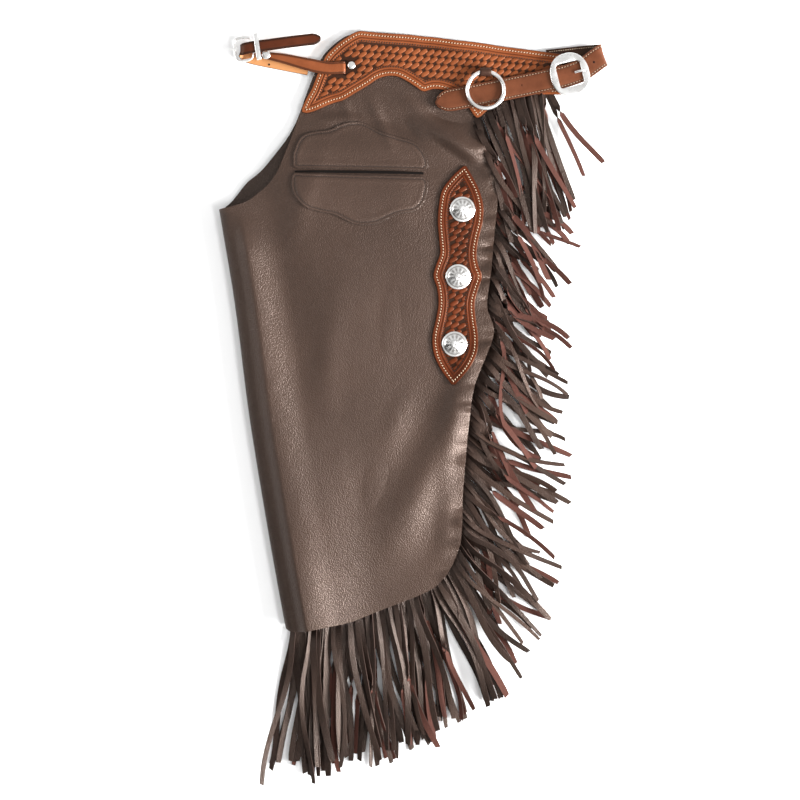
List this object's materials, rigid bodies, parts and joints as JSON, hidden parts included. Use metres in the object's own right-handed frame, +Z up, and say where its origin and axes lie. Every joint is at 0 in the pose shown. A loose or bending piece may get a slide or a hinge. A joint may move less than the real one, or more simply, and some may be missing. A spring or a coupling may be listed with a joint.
{
  "type": "leather show chaps",
  "caption": "Pair of leather show chaps folded at the centre front and laid flat, with tooled yoke, belt and buckle, rope ring, concho plate and cut fringe along the outer seam and hem.",
  "frame": {"origin": "centre of the bounding box's bottom face, on the surface the chaps lie on", "axes": "+Y from the fringe tips up to the waist, +X from the inner fold towards the fringed outer seam, +Z up from the surface"},
  "size_m": [0.545, 1.0651, 0.0273],
  "materials": {
    "hide": "chocolate pebble-grained chap leather, semi-matt",
    "tooled": "russet vegetable-tanned leather, basketweave stamped, antiqued and waxed",
    "belt_leather": "smooth tan strap leather with dark sewn edges",
    "billet_leather": "dark brown smooth strap leather",
    "fringe_leather": "chap leather cut in strands, taupe grain side and red-brown flesh side",
    "silver": "bright nickel silver, polished, lightly engraved"
  },
  "bodies": {
    "chaps": {"leg_under": "hide", "leg_top": "hide", "pocket_upper": "hide", "pocket_lower": "hide", "yoke_under": "tooled", "yoke_top": "tooled", "concho_plate": "tooled", "concho_1": "silver", "concho_2": "silver", "concho_3": "silver", "fringe_side": "fringe_leather", "fringe_hem": "fringe_leather", "fringe_side_under": "fringe_leather", "fringe_hem_under": "fringe_leather", "fringe_hip": "fringe_leather", "belt_strap": "belt_leather", "belt_chape": "belt_leather", "belt_buckle": "silver", "belt_tongue": "silver", "ring_loop": "billet_leather", "front_strap": "tooled", "front_billet": "billet_leather", "front_buckle": "silver", "front_tongue": "silver", "front_keeper": "silver", "rivet_strap": "silver", "rivet_yoke": "silver"},
    "ring": {"ring": "silver"}
  },
  "joints": [
    {"name": "ring_swing", "type": "hinge", "parent": "chaps", "child": "ring", "pos_m": [0.101, 0.4747, 0.01795], "axis": [-1, 0, 0], "range_deg": [0, 150]}
  ]
}
